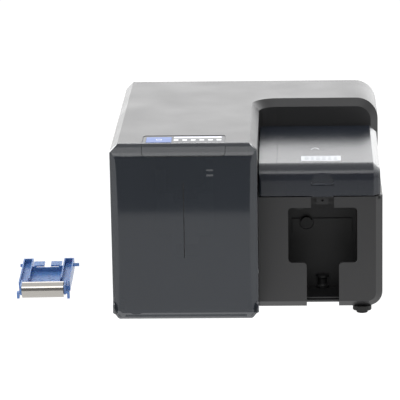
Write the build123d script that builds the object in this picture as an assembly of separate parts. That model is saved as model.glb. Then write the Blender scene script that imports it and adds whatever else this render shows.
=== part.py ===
from build123d import *
import os
from math import atan2, cos, degrees, pi, radians, sin

# ID card printer with a drop-down front cover and a hinged card hopper lid.
# Millimetres. X runs to the right, Y to the back, Z up from the table.

# ---------------------------------------------------------------- driving sizes
# card that everything is built around
card_length = 85.6
card_width = 54.0
card_play = 1.4

# case
case_width = 356.0
case_height = 246.0
foot_height = 10.0
block_width = 191.6
seam_y = -173.0
fascia_y = -139.0
recess_back_y = 72.0
case_back_y = 194.5
deck_z = 162.5
case_wall = 3.0
case_chamfer = 10.0
rim_bevel = 10.0
recess_corner_r = 25.0
top_right_r = 30.0
bottom_right_r = 20.0
tray_height = 30.0
parting_gap = 0.5
tray_front_set_back = 15.0

# front cover
cover_depth = 18.0
cover_bulge = 3.0
cover_wall = 2.5
cover_brow_drop = 16.5
cover_brow_reach = 12.5
cover_brow_r = 26.0
cover_top_r = 9.0
cover_foot_r = 9.0
cover_edge_cut = 11.0
cover_gap = 0.5
cover_hinge_rise = 14.0
cover_hinge_reach = 3.0
cover_tail_r = 13.6

# hopper lid
lid_gap = 1.5
lid_front_height = 40.0
lid_back_height = 48.0
lid_wall = 2.5
lid_front_r = 20.0
lid_chamfer = 9.0
lid_hinge_y = 42.5
lid_back_reach = 25.0
lid_hinge_drop = 10.0
lid_back_r = 22.0
grip_width = 30.0
grip_height = 17.0

# front panel openings
window_width = 91.2
window_left = 53.1
window_bottom_z = 72.4
window_top_z = 147.7
window_r = 5.0
slot_width = 42.8
notch_width = 30.4
bin_depth = 73.0
bin_floor_z = 17.0
bin_wall = 2.0

# card path
path_z = 152.0
stack_height = 44.0
hopper_wall = 2.5
roller_r = 7.0
roller_shaft_r = 2.5
running_gap = 0.05
seat_gap = 0.3
card_play_y = 1.2

# feet
foot_r = 12.5
foot_tip_r = 7.5
foot_step = 4.0
foot_inset_x = 27.0
foot_inset_y = 14.0
foot_back_inset = 29.5

# case details
panel_return = 10.0
panel_facet = 9.0
thumb_back_y = -113.0
sill_height = 4.0
running_room = 1.2
ear_offset = 6.5
ear_width = 8.0
ear_r = 5.5
pin_r = 2.5
bezel_left = 42.0
bezel_width = 108.0
bezel_depth = 40.0
bezel_r = 6.0
rear_margin = 15.0
rear_r = 6.0
vent_count = 10
vent_width = 3.0
vent_pitch = 8.0
vent_start_y = 90.0
vent_z0 = 70.0
vent_z1 = 150.0
rear_vent_margin = 14.0
rear_vent_rise = 60.0
foot_stem_r = 4.0

# cover details
cover_bulge_r = 2500.0
ear_gap = 0.4
catch_inset = 17.0
catch_drop = 16.0
catch_r = 4.5
catch_reach = 11.5

# bulkhead
bulkhead_set_back = 10.0
bulkhead_wall = 3.0
service_width = 76.0
service_bottom = 108.0
service_top = 222.0
service_r = 6.0
tongue_width = 34.0
tongue_bottom = 80.0

# control panel
bezel_drop = 0.5
key_margin = 5.0
key_front_margin = 4.0
key_width = 33.0
key_depth = 28.0
key_gap = 0.3
key_travel = 0.8
key_proud = 0.3
key_stem_r = 3.0
key_stem_drop = 8.0
lens_gap = 3.0
lens_sink = 1.2
lens_count = 6
lens_r = 3.0
lens_half_depth = 3.0
lens_row_gap = 10.0
display_depth = 8.0

# lid details
lid_side_gap = 1.5
lid_right_gap = 3.0
grip_rise = 14.0
grip_depth = 2.6
rib_inset = 23.5
rib_width = 1.8
rib_back_y = 20.0
rib_rise = 12.0
rib_depth = 8.0
post_inset = 12.0
post_width = 6.0
post_r = 5.5
lug_width = 5.0

# hopper and bin details
stack_set_back = 16.0
hopper_floor = 2.5
hopper_ledge = 14.0
gate_height = 1.6
bay_margin = 3.0
bay_overhang = 12.0
pick_inset = 13.0
pick_proud = 0.5
pick_margin = 9.0
hanger_half = 5.0
hanger_gap = 1.5
hanger_width = 3.0
lid_catch_width = 15.8
lid_catch_rise = 3.8
bin_side_gap = 0.6
entry_height = 6.0
exit_rise = 9.0
bar_margin = 6.0
bar_depth = 2.0
bar_height = 15.0
bar_rise = 5.0
wheel_notch_r = 10.0
wheel_offset = 9.6
scoop_height = 18.0
scoop_r = 6.0
scoop_flange = 3.0

# pick drive: tooth counts and tooth size
gear_module = 1.0
pick_teeth = 24
pinion_teeth = 12
wheel_teeth = 30
gear_slack = 0.05

# card transport
frame_gap = 3.0
frame_thick = 1.6
frame_inset = 18.0
frame_right_inset = 8.0
frame_rise = 14.0
platen_length = 86.0
platen_thick = 3.0
feed_gap = 3.0
card_nip = 0.8
pinch_r = 5.0
pinch_shaft_r = 2.0
feed_pulley_r = 6.5
pulley_gap = 5.0
motor_pulley_r = 5.0
motor_drop = 27.0
motor_r = 14.0
motor_length = 30.0
motor_boss_r = 6.0
motor_shaft_r = 1.5
pick_motor_r = 12.0
belt_width = 6.0
belt_thick = 1.0
belt_gap = 0.3
gear_set_back = 14.0
gear_width = 6.0
bracket_half = 34.0
bracket_drop = 20.0
wheel_r = 8.0

# print carriage
rod_spacing = 100.0
rod_r = 4.0
guide_drop = 41.0
rod_boss_r = 7.0
boss_length = 10.0
rear_frame_y = 118.0
carriage_overhang = 4.0
carriage_lift = 2.0
carriage_travel = 150.0
tub_wall = 3.0
ink_width = 45.0
ink_gap = 0.3
ink_proud = 6.0
snout_width = 25.0
snout_inset = 12.0
snout_depth = 14.0
snout_room = 4.0
nozzle_gap = 1.5
latch_gap = 0.4
latch_thick = 3.0
latch_height = 42.0
latch_r = 3.0
latch_rise = 7.0
belt_reach = 3.0
belt_fall = 15.0
carriage_pulley_r = 6.0
cap_height = 6.0
cap_margin = 2.0
wiper_lead = 22.0
wiper_thick = 1.5
tower_margin = 8.0
tower_front = 30.0
tower_wall = 3.0

# electronics
board_rise = 8.0
board_depth = 100.0
board_thick = 1.6
standoff_r = 3.5
socket_depth = 18.0
socket_wall = 1.2
power_inset = 35.0
power_rise = 25.0
power_width = 27.6
power_height = 20.4
data_inset = 75.0
data_rise = 22.0
data_width = 12.6
data_height = 11.4
network_inset = 100.0
network_rise = 23.0
network_width = 16.6
network_height = 14.0
board_left_margin = 20.0
board_right_margin = 25.0
board_back_gap = 4.0
standoff_inset = 6.0
screw_margin = 8.0
screw_head = 1.5
screw_r = 3.5

# cleaning cassette lying beside the printer
cassette_offset = 104.6
cassette_y = -54.5
cassette_tilt = 11.5
cassette_lean = 1.0
cassette_yaw = 1.3
cleaning_r = 11.0
cleaning_length = 57.0
cassette_clear = 0.4
journal_r = 2.5
cheek_thick = 2.6
cheek_drop = 5.5
leg_gap = 4.3
leg_thick = 3.4
leg_depth = 7.0
leg_rise = 3.0
carrier_shift = 1.0
carrier_half = 35.2
carrier_length = 77.0
carrier_front = 8.0
carrier_height = 15.0
carrier_top = 8.0
channel_width = 13.8
channel_depth = 7.0
channel_step = 11.0
carrier_wall = 1.8
tray_length = 53.0
tray_drop = 3.0
tab_length = 15.0
tab_width = 15.0
tab_gap = 2.0
prop_width = 16.0
prop_thick = 2.5
side_pin_r = 2.5
side_pin_left = 3.6
side_pin_right = 7.8
side_pin_inset = 13.0
side_pin_drop = 4.0
latch_pin_r = 1.5

# ---------------------------------------------------------------- worked-out places
left_x = -case_width / 2
right_x = case_width / 2
block_x = left_x + block_width
base_z = foot_height
top_z = case_height
tray_z = base_z + tray_height
card_x0 = window_left + (window_width - card_length) / 2 - card_play / 2
card_x1 = card_x0 + card_length + card_play
hinge_y = seam_y - cover_hinge_reach
hinge_z = base_z + cover_hinge_rise
tray_front_y = seam_y + tray_front_set_back
sill_top_z = tray_z + sill_height
block_mid_x = left_x + block_width / 2
window_right = window_left + window_width
window_mid = window_left + window_width / 2
bezel_x0 = left_x + bezel_left
bezel_x1 = bezel_x0 + bezel_width
bezel_back_y = seam_y + bezel_depth
rear_x0 = left_x + rear_margin
rear_x1 = right_x - top_right_r
rear_mid_x = (rear_x0 + rear_x1) / 2
rear_z0 = tray_z + 6
rear_z1 = top_z - rear_margin
rear_vent_z = rear_z0 + rear_vent_rise
bulkhead_y0 = seam_y + bulkhead_set_back
service_z0 = base_z + service_bottom
service_z1 = base_z + service_top
tongue_z0 = base_z + tongue_bottom
lid_x0 = block_x + lid_side_gap
lid_x1 = right_x - lid_right_gap
lid_z0 = deck_z + lid_gap
lid_axis_z = lid_z0 + lid_back_height - lid_hinge_drop
stack_y0 = fascia_y + stack_set_back
stack_y1 = stack_y0 + card_width + card_play_y
pinion_z = path_z + pick_proud - roller_r - gear_module * (pick_teeth + pinion_teeth) / 2 - gear_slack
gear_centres = gear_module * (wheel_teeth + pinion_teeth) / 2 + gear_slack
lid_catch_hole_z = (window_top_z + lid_catch_rise + deck_z) / 2
foot_places = [
    (left_x + foot_inset_x, fascia_y + foot_inset_y),
    (right_x - foot_inset_x, fascia_y + foot_inset_y),
    (left_x + foot_inset_x, case_back_y - foot_back_inset),
    (right_x - foot_inset_x, case_back_y - foot_back_inset),
]
sockets = {
    "power_socket": (rear_x1 - power_inset, rear_z0 + power_rise, power_width, power_height),
    "data_socket": (rear_x1 - data_inset, rear_z0 + data_rise, data_width, data_height),
    "network_socket": (rear_x1 - network_inset, rear_z0 + network_rise, network_width, network_height),
}


# ---------------------------------------------------------------- shape helpers
def box_at(x0, x1, y0, y1, z0, z1):
    """Box between two opposite corners."""
    size = (abs(x1 - x0), abs(y1 - y0), abs(z1 - z0))
    return Pos((x0 + x1) / 2, (y0 + y1) / 2, (z0 + z1) / 2) * Box(*size)


def rod_x(x0, x1, y, z, r):
    """Round rod along X."""
    return Pos((x0 + x1) / 2, y, z) * Rot(0, 90, 0) * Cylinder(r, x1 - x0)


def rod_y(y0, y1, x, z, r):
    """Round rod along Y."""
    return Pos(x, (y0 + y1) / 2, z) * Rot(90, 0, 0) * Cylinder(r, y1 - y0)


def rod_z(z0, z1, x, y, r):
    """Round rod along Z."""
    return Pos(x, y, (z0 + z1) / 2) * Cylinder(r, z1 - z0)


def prism_x(points, x0, x1, radii=0):
    """Closed outline in Y and Z, rounded at its corners, pushed along X."""
    face = make_face(FilletPolyline(*points, radius=radii, close=True))
    return extrude(Plane(origin=(x0, 0, 0), x_dir=(0, 1, 0), z_dir=(1, 0, 0)) * face, x1 - x0)


def prism_y(points, y0, y1, radii=0):
    """Closed outline in X and Z, rounded at its corners, pushed along Y."""
    face = make_face(FilletPolyline(*points, radius=radii, close=True))
    return extrude(Plane(origin=(0, y1, 0), x_dir=(1, 0, 0), z_dir=(0, -1, 0)) * face, y1 - y0)


def prism_z(points, z0, z1, radii=0):
    """Closed outline in X and Y, rounded at its corners, pushed along Z."""
    face = make_face(FilletPolyline(*points, radius=radii, close=True))
    return extrude(Plane.XY.offset(z0) * face, z1 - z0)


# ---------------------------------------------------------------- case
def case_profile(inset):
    """Front view of the case as corner points and corner radii."""
    cut = case_chamfer - inset * (2 - 2 ** 0.5)
    x0 = left_x + inset
    x1 = right_x - inset
    z0 = base_z + inset
    z1 = top_z - inset
    points = [(x0 + cut, z0), (x1, z0), (x1, z1), (x0 + cut, z1), (x0, z1 - cut), (x0, z0 + cut)]
    radii = [0, bottom_right_r - inset, top_right_r - inset, 0, 0, 0]
    return points, radii


def case_block(inset):
    """Whole case as one closed block, its faces moved in by the inset."""
    points, radii = case_profile(inset)
    front = seam_y - 2 * inset
    back = case_back_y - inset
    block = prism_y(points, front, back, radii)
    wall_x = block_x - inset
    recess_back = recess_back_y + inset
    deck = deck_z - inset
    recess = box_at(wall_x, right_x + 1, front - 1, recess_back, deck, top_z + 1)
    corner = recess.edges().filter_by(Axis.Z).group_by(Axis.Y)[-1].sort_by(Axis.X)[0]
    recess = fillet(corner, recess_corner_r + inset)
    bevel = rim_bevel - inset * (2 - 2 ** 0.5)
    block = block - recess
    rim = block.edges().filter_by(lambda e: is_rim_edge(e, wall_x, recess_back, deck))
    block = chamfer(rim, bevel)
    right_side = box_at(wall_x, right_x + 1, front - 1, recess_back, base_z - 1, deck + 1)
    return block - right_side + right_block(inset)


def right_block(inset):
    """Lower block under the hopper, bevelled down its right side and along its foot."""
    x0 = block_x - inset - case_chamfer
    x1 = right_x - inset
    z0 = base_z + inset
    z1 = deck_z - inset
    points = [(x0, z0), (x1, z0), (x1, z1), (x0, z1)]
    front = fascia_y + inset
    block = prism_y(points, front, recess_back_y + inset + 1, [0, bottom_right_r - inset, 0, 0])
    rim = block.edges().filter_by(lambda e: abs(e.center().Y - front) < 0.01 and abs(e.bounding_box().size.Y) < 0.01)
    rim = rim.filter_by(lambda e: e.center().X > x0 + 1 and e.center().Z < z1 - 1)
    return chamfer(rim, panel_facet - inset * (2 - 2 ** 0.5))


def is_rim_edge(edge, wall_x, recess_back, deck):
    """True for the edges that outline the recess above the deck."""
    mid = edge @ 0.5
    box = edge.bounding_box()
    on_top = box.min.Z > top_z - top_right_r - case_wall - 1 or box.max.Z - box.min.Z > 30
    on_back = abs(mid.Y - recess_back) < 0.01 and abs(box.size.Y) < 0.01
    on_side = abs(mid.X - wall_x) < 0.01 and abs(box.size.X) < 0.01 and box.size.Z < 0.01
    on_corner = wall_x - 0.01 < mid.X < wall_x + 40 and box.size.Z < 0.01 and box.size.X > 1
    if mid.Z < deck + 1:
        return False
    if on_side:
        return mid.Y < recess_back
    if on_back:
        return on_top and mid.X > wall_x + 1
    return on_corner and mid.Z > top_z - case_wall - 1 and recess_back - 40 < mid.Y < recess_back


def block_mirror(shape):
    """Copy of a shape on the other side of the left block's middle."""
    return mirror(shape, about=Plane.YZ.offset(block_mid_x))


parts = {}
case_shell = case_block(0) - case_block(case_wall)
case_outline = prism_y(case_profile(0)[0], seam_y - cover_depth, case_back_y, case_profile(0)[1])
far = 2 * case_width
tail_room = rod_x(left_x - 1, block_x + 1, hinge_y, hinge_z, cover_tail_r + running_room)
under_cover = box_at(left_x - 1, block_x + 1, seam_y - 1, tray_front_y, base_z - 1, tray_z + sill_height)
tail_side = box_at(left_x - 1, left_x + case_wall + 0.1, seam_y - 1, tray_front_y, base_z - 1, far)
tail_sides = tail_side + block_mirror(tail_side)
tail_cut = tail_room & tail_sides
low_corners = box_at(left_x - 1, block_x + 1, seam_y - 1, tray_front_y, base_z - 1, hinge_z)

# front panel: fascia plate with its right facet and returns
panel_back_y = fascia_y + panel_return
panel_room = box_at(block_x + seat_gap, right_x + 1, fascia_y - 1, panel_back_y, 0, deck_z + 1)
deck_hole = box_at(block_x, right_x - case_wall, fascia_y + case_wall, recess_back_y, deck_z - case_wall - 1, deck_z + 1)
open_shell = case_shell - deck_hole
open_shell = open_shell - (under_cover - tail_sides) - tail_cut - low_corners

front_panel = open_shell & panel_room
window = prism_y(
    [(window_left, window_bottom_z), (window_right, window_bottom_z),
     (window_right, window_top_z), (window_left, window_top_z)],
    fascia_y - 1, fascia_y + case_wall + 1, window_r,
)
slot_x0 = window_mid - slot_width / 2
slot_x1 = window_mid + slot_width / 2
slot_points = [
    (slot_x0, base_z - 5), (slot_x1, base_z - 5), (slot_x1, window_bottom_z),
    (slot_x1 + 2 * window_r, window_bottom_z), (slot_x1 + 2 * window_r, window_bottom_z + 2 * window_r),
    (slot_x0 - 2 * window_r, window_bottom_z + 2 * window_r), (slot_x0 - 2 * window_r, window_bottom_z),
    (slot_x0, window_bottom_z),
]
slot_radii = [0, 0, window_r, 0, 0, 0, 0, window_r]
slot = prism_y(slot_points, fascia_y - 1, fascia_y + case_wall + 1, slot_radii)
notch = box_at(window_mid - notch_width / 2, window_mid + notch_width / 2,
               fascia_y - 1, fascia_y + case_wall + 1, window_top_z - 1, deck_z + 1)
thumb_cut = box_at(slot_x0, slot_x1, fascia_y - 1, thumb_back_y, base_z - 1, bin_floor_z + 1)
front_panel = front_panel - window - slot - notch - thumb_cut
parts["front_panel"] = front_panel

# base tray: floor with a skirt, front sill and ears for the cover hinge
rest_shell = open_shell - box_at(block_x, right_x + 1, fascia_y - 1, panel_back_y + parting_gap, 0, deck_z + 1)
base_tray = rest_shell & box_at(-far, far, -far, far, 0, tray_z)
sill = box_at(left_x + case_wall, block_x - case_wall, tray_front_y, tray_front_y + case_wall,
              base_z + case_wall, sill_top_z)
ear_x0 = left_x + ear_offset
ear = box_at(ear_x0, ear_x0 + ear_width, hinge_y, tray_front_y + 1, hinge_z - ear_r, hinge_z + ear_r)
ear = ear + rod_x(ear_x0, ear_x0 + ear_width, hinge_y, hinge_z, ear_r)
ear = ear - rod_x(ear_x0 - 1, ear_x0 + ear_width + 1, hinge_y, hinge_z, pin_r + running_gap)
floor_front = box_at(left_x + case_chamfer, block_x - case_wall, tray_front_y, tray_front_y + case_wall,
                     base_z, base_z + case_wall + 1)
base_tray = base_tray + sill + floor_front + ear + block_mirror(ear)
base_tray = base_tray - thumb_cut
for x, y in foot_places:
    base_tray = base_tray - rod_z(base_z - 1, base_z + case_wall + 1, x, y, foot_stem_r + seat_gap)
parts["base_tray"] = base_tray

# top case
panel_hole = prism_z(
    [(bezel_x0, seam_y - 1), (bezel_x1, seam_y - 1), (bezel_x1, bezel_back_y), (bezel_x0, bezel_back_y)],
    top_z - case_wall - 1, top_z + 1, [0, 0, bezel_r, bezel_r],
)
top_case = rest_shell & box_at(-far, far, -far, far, tray_z + parting_gap, far)
rear_hole = prism_y(
    [(rear_x0, rear_z0), (rear_x1, rear_z0), (rear_x1, rear_z1), (rear_x0, rear_z1)],
    case_back_y - case_wall - 1, case_back_y + 1, rear_r,
)
top_case = top_case - panel_hole - rear_hole
for i in range(vent_count):
    y = vent_start_y + i * vent_pitch
    vent = box_at(left_x - 1, left_x + case_wall + 1, y, y + vent_width, vent_z0, vent_z1)
    top_case = top_case - vent
parts["top_case"] = top_case

rear_panel = prism_y(
    [(rear_x0 + seat_gap, rear_z0 + seat_gap), (rear_x1 - seat_gap, rear_z0 + seat_gap),
     (rear_x1 - seat_gap, rear_z1 - seat_gap), (rear_x0 + seat_gap, rear_z1 - seat_gap)],
    case_back_y - case_wall, case_back_y, rear_r - seat_gap,
)
for i in range(vent_count):
    z = rear_vent_z + i * vent_pitch
    rear_panel = rear_panel - box_at(rear_x0 + rear_vent_margin, rear_mid_x - rear_vent_margin,
                                     case_back_y - case_wall - 1, case_back_y + 1, z, z + vent_width)
for name, (x, z, w, h) in sockets.items():
    hole = box_at(x - w / 2, x + w / 2, case_back_y - case_wall - 1, case_back_y + 1, z - h / 2, z + h / 2)
    rear_panel = rear_panel - hole
parts["rear_panel"] = rear_panel

# ---------------------------------------------------------------- front cover
def cover_block(inset):
    """Closed block of the drop-down cover, its faces moved in by the inset."""
    front = seam_y - cover_depth + inset
    z0 = base_z + inset
    z1 = top_z - inset
    cut = case_chamfer - inset * (2 - 2 ** 0.5)
    edge_cut = cover_edge_cut - inset * (2 - 2 ** 0.5)
    x0 = left_x + inset
    x1 = block_x - inset
    back = seam_y - cover_gap + 2 * inset
    mid_z = (base_z + top_z) / 2 + cover_bulge
    side = prism_x(
        [(back, z0), (front, z0), (front - cover_bulge, mid_z), (front, z1 - cover_brow_drop + inset * 0.66),
         (front + cover_brow_reach - inset * 0.5, z1), (back, z1)],
        x0, x1, [0, cover_foot_r - inset, cover_bulge_r, cover_brow_r - inset, cover_top_r - inset, 0],
    )
    face = [(x0 + cut, z0), (x1 - cut, z0), (x1, z0 + cut), (x1, z1 - cut),
            (x1 - cut, z1), (x0 + cut, z1), (x0, z1 - cut), (x0, z0 + cut)]
    nose = front - cover_bulge
    plan = [(x0, back), (x0, nose + edge_cut), (x0 + edge_cut, nose),
            (x1 - edge_cut, nose), (x1, nose + edge_cut), (x1, back)]
    return side & prism_y(face, nose - 1, back + 1) & prism_z(plan, z0 - 1, z1 + 1)


cover_shell = cover_block(0) - cover_block(cover_wall)
side_wall = box_at(left_x, left_x + cover_wall, seam_y - cover_depth, tray_front_y, base_z, far)
tail = rod_x(left_x, left_x + cover_wall, hinge_y, hinge_z, cover_tail_r) & case_outline
lug = rod_x(left_x + cover_wall - 0.1, ear_x0 - ear_gap, hinge_y, hinge_z, ear_r)
lug_bore = rod_x(left_x + cover_wall / 2, ear_x0, hinge_y, hinge_z, pin_r + running_gap)
ear_slot = box_at(ear_x0 - running_room, ear_x0 + ear_width + running_room, hinge_y - ear_r - running_room,
                  tray_front_y, base_z - 1, hinge_z - ear_r)
wing = tail + lug
cover_shell = cover_shell + wing + block_mirror(wing)
cover_shell = cover_shell - lug_bore - block_mirror(lug_bore) - ear_slot - block_mirror(ear_slot)
parts["front_cover"] = cover_shell

pin = rod_x(left_x + cover_wall / 2 + seat_gap, ear_x0 + ear_width, hinge_y, hinge_z, pin_r)
parts["cover_hinge_pins"] = Compound([pin, block_mirror(pin)])

# catch hooks inside the cover's top corners, and the sockets that hold them
catch_x = left_x + catch_inset
catch_z = top_z - catch_drop
catch = rod_y(seam_y - cover_depth, seam_y + catch_reach, catch_x, catch_z, catch_r)
front_part = box_at(-far, far, -far, seam_y - cover_depth / 2, 0, far)
catch = catch - (front_part - cover_block(cover_wall + running_gap))
parts["cover_catches"] = Compound([catch, block_mirror(catch)])

# ---------------------------------------------------------------- bulkhead behind the cover
inner_block = case_block(case_wall + seat_gap)
bulkhead_y1 = bulkhead_y0 + bulkhead_wall
bulkhead = inner_block & box_at(-far, block_x, bulkhead_y0, bulkhead_y1, sill_top_z + seat_gap, far)
service_x0 = block_mid_x - service_width / 2
service_x1 = block_mid_x + service_width / 2
service_hole = prism_y(
    [(service_x0, service_z0), (service_x1, service_z0), (service_x1, service_z1), (service_x0, service_z1)],
    bulkhead_y0 - 5, bulkhead_y1 + 5, service_r,
)
tongue = prism_y(
    [(block_mid_x - tongue_width / 2, tongue_z0), (block_mid_x + tongue_width / 2, tongue_z0),
     (block_mid_x + tongue_width / 2, service_z0 + 2 * service_r),
     (block_mid_x - tongue_width / 2, service_z0 + 2 * service_r)],
    bulkhead_y0 - 5, bulkhead_y1 + 5, 4.0,
)
frame_margin = 6.5
rim_frame = prism_y(
    [(service_x0 - frame_margin, tongue_z0 - frame_margin), (service_x1 + frame_margin, tongue_z0 - frame_margin),
     (service_x1 + frame_margin, service_z1 + frame_margin), (service_x0 - frame_margin, service_z1 + frame_margin)],
    bulkhead_y0 - 1.5, bulkhead_y0 + 0.1, 16.0,
)
keeper_hole = rod_y(bulkhead_y0 - 5, bulkhead_y1 + 5, catch_x, catch_z, catch_r + seat_gap)
bulkhead = bulkhead + rim_frame - service_hole - tongue - keeper_hole - block_mirror(keeper_hole)
bulkhead = bulkhead - box_at(bezel_x0 - 4, bezel_x1 + 4, bulkhead_y0 - 1, bulkhead_y1 + 1,
                             top_z - case_wall - 2 - seat_gap, top_z)
parts["front_bulkhead"] = bulkhead

# ---------------------------------------------------------------- control panel
def rounded_plate(x0, x1, y0, y1, z0, z1, r):
    """Plate with its two rear corners rounded."""
    return prism_z([(x0, y0), (x1, y0), (x1, y1), (x0, y1)], z0, z1, [0, 0, r, r])


bezel_top = top_z - bezel_drop
bezel_low = top_z - case_wall
bezel = rounded_plate(bezel_x0 + seat_gap, bezel_x1 - seat_gap, seam_y, bezel_back_y - seat_gap,
                      bezel_low, bezel_top, bezel_r - seat_gap)
bezel = bezel + rounded_plate(bezel_x0 - 3, bezel_x1 + 3, seam_y, bezel_back_y + 3,
                              bezel_low - 2, bezel_low, bezel_r)
key_x0 = bezel_x0 + key_margin
key_x1 = key_x0 + key_width
key_y0 = seam_y + key_front_margin
key_y1 = key_y0 + key_depth
key_hole = box_at(key_x0 - key_gap, key_x1 + key_gap, key_y0 - key_gap, key_y1 + key_gap, bezel_low - 1, top_z)
stem_x = (key_x0 + key_x1) / 2
stem_y = (key_y0 + key_y1) / 2
stem_hole = rod_z(bezel_low - 3, top_z, stem_x, stem_y, key_stem_r + key_gap)
display_x0 = key_x1 + lens_gap
display_x1 = bezel_x1 - key_margin
display_y1 = bezel_back_y - key_margin
display_y0 = display_y1 - display_depth
display_hole = box_at(display_x0, display_x1, display_y0, display_y1, bezel_top - lens_sink, top_z)
bezel = bezel - key_hole - stem_hole - display_hole
lenses = []
lens_pitch = (display_x1 - display_x0 - 2 * lens_r) / (lens_count - 1)
for i in range(lens_count):
    x = display_x0 + lens_r + i * lens_pitch
    y = display_y0 - lens_row_gap
    seat = box_at(x - lens_r, x + lens_r, y - lens_half_depth, y + lens_half_depth, bezel_top - lens_sink, bezel_top)
    bezel = bezel - seat
    lenses.append(seat)
parts["control_bezel"] = bezel
parts["indicator_lenses"] = Compound(lenses)
parts["display_window"] = box_at(display_x0, display_x1, display_y0, display_y1, bezel_top - lens_sink, bezel_top)
key = prism_z([(key_x0, key_y0), (key_x1, key_y0), (key_x1, key_y1), (key_x0, key_y1)],
              bezel_low + key_travel + seat_gap, bezel_top + key_proud, 2.0)
key = key + rod_z(bezel_low - key_stem_drop, bezel_low + key_travel + 1, stem_x, stem_y, key_stem_r)
parts["power_key"] = key

# ---------------------------------------------------------------- feet and screws
feet = []
for x, y in foot_places:
    foot = rod_z(foot_step, base_z, x, y, foot_r) + rod_z(0, foot_step + 1, x, y, foot_tip_r)
    foot = foot + rod_z(base_z - 1, base_z + case_wall - running_gap, x, y, foot_stem_r)
    feet.append(foot)
parts["rubber_feet"] = Compound(feet)

# ---------------------------------------------------------------- hopper lid
def lid_block(inset, back_y, foot):
    """Closed block of the hopper lid, its faces moved in by the inset."""
    x0 = lid_x0 + inset
    x1 = lid_x1 - inset
    front = fascia_y + inset
    z_front = lid_z0 + lid_front_height - inset
    z_back = lid_z0 + lid_back_height - inset
    low = lid_z0 - 2 * inset
    points = [(front, low), (front, z_front), (back_y, z_back)] + foot
    radii = [0, lid_front_r - inset, lid_hinge_drop - inset * 0.8] + [0] * len(foot)
    block = prism_x(points, x0, x1, radii)
    edges = block.edges().filter_by(lambda e: abs(e.center().X - x1) < 0.01 and e.bounding_box().size.X < 0.01)
    edges = edges.filter_by(lambda e: e.center().Z > low + 1 and e.center().Y < back_y - 1)
    edges = edges.filter_by(lambda e: e.center().Y < lid_hinge_y - 1 or e.center().Z > lid_axis_z)
    block = chamfer(edges, lid_chamfer - inset * (2 - 2 ** 0.5))
    plan = [(x0, front), (x1 + 1, front), (x1 + 1, back_y), (x0, back_y)]
    return block & prism_z(plan, low - 1, z_back + 1, [3.0, 0, 0, lid_back_r - inset])


lid_back_y = lid_hinge_y + lid_back_reach
lid_roll_z = lid_axis_z - lid_hinge_drop
outer_foot = [(lid_back_y, lid_roll_z), (lid_hinge_y, lid_roll_z), (lid_hinge_y, lid_z0)]
inner_back_y = lid_back_y - lid_wall
inner_roll_z = lid_roll_z + lid_wall
open_back_y = lid_hinge_y + 4
inner_foot = [(inner_back_y, inner_roll_z), (open_back_y, inner_roll_z), (open_back_y, lid_z0 - 2 * lid_wall)]
lid_outer = lid_block(0, lid_back_y, outer_foot)
lid_inner = lid_block(lid_wall, inner_back_y, inner_foot)
lid_shell = lid_outer - lid_inner
grip_x0 = window_mid - grip_width / 2
grip_x1 = window_mid + grip_width / 2
grip_z = lid_z0 + grip_rise
grip_back = box_at(grip_x0 - 2, grip_x1 + 2, fascia_y + lid_wall - 0.1, fascia_y + lid_wall + grip_depth,
                   grip_z - 3, grip_z + grip_height + 4)
dish = prism_x([(fascia_y - 1, grip_z), (fascia_y + grip_depth, grip_z),
                (fascia_y + grip_depth, grip_z + grip_height + 3), (fascia_y - 1, grip_z + grip_height + 3)],
               grip_x0, grip_x1)
arch = prism_y([(grip_x0, grip_z - 1), (grip_x1, grip_z - 1),
                (grip_x1, grip_z + grip_height), (grip_x0, grip_z + grip_height)],
               fascia_y - 2, fascia_y + 2 * grip_depth, [0, 0, grip_width / 2 - 0.5, grip_width / 2 - 0.5])
lid_shell = lid_shell + (grip_back & lid_outer) - (dish & arch)
lid_shell = lid_shell + box_at(grip_x0 + 1, grip_x1 - 1, fascia_y, fascia_y + lid_wall, lid_z0 - 1.2, lid_z0 + 1)
rib_x = lid_x0 + rib_inset
rib = box_at(rib_x, rib_x + rib_width, fascia_y, rib_back_y, lid_z0 + rib_rise, far) & lid_inner
rib = rib - box_at(rib_x - 1, rib_x + rib_width + 1, fascia_y + rib_depth, far, 0, lid_z0 + lid_front_height - rib_depth)
lid_shell = lid_shell + rib
posts = []
lid_pins = []
for post_x in (lid_x0 + post_inset, lid_x1 - post_inset - post_width):
    toward = 1 if post_x < window_mid else -1
    post = box_at(post_x, post_x + post_width, lid_hinge_y - post_r, lid_hinge_y + post_r,
                  deck_z - 1, lid_axis_z)
    post = post + rod_x(post_x, post_x + post_width, lid_hinge_y, lid_axis_z, post_r)
    posts.append(post - rod_x(post_x - 1, post_x + post_width + 1, lid_hinge_y, lid_axis_z, pin_r + running_gap))
    room = box_at(post_x - 1, post_x + post_width + 1, lid_hinge_y - post_r - 1, lid_back_y + 1,
                  lid_z0, lid_axis_z + post_r + 1)
    lug_x0 = post_x + post_width + ear_gap if toward > 0 else post_x - ear_gap - lug_width
    lug_x1 = lug_x0 + lug_width
    lid_lug = box_at(lug_x0, lug_x1, lid_hinge_y - post_r, lid_hinge_y + post_r, lid_axis_z,
                     lid_axis_z + lid_hinge_drop - lid_wall / 2)
    lid_lug = (lid_lug & lid_outer) + rod_x(lug_x0, lug_x1, lid_hinge_y, lid_axis_z, post_r)
    bore = rod_x(lug_x0 - 1, lug_x1 + 1, lid_hinge_y, lid_axis_z, pin_r + running_gap)
    lid_shell = lid_shell - room + lid_lug - bore
    lid_pins.append(rod_x(min(post_x, lug_x0), max(post_x + post_width, lug_x1), lid_hinge_y, lid_axis_z, pin_r))
parts["hopper_lid"] = lid_shell
parts["lid_hinge_pins"] = Compound(lid_pins)

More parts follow.
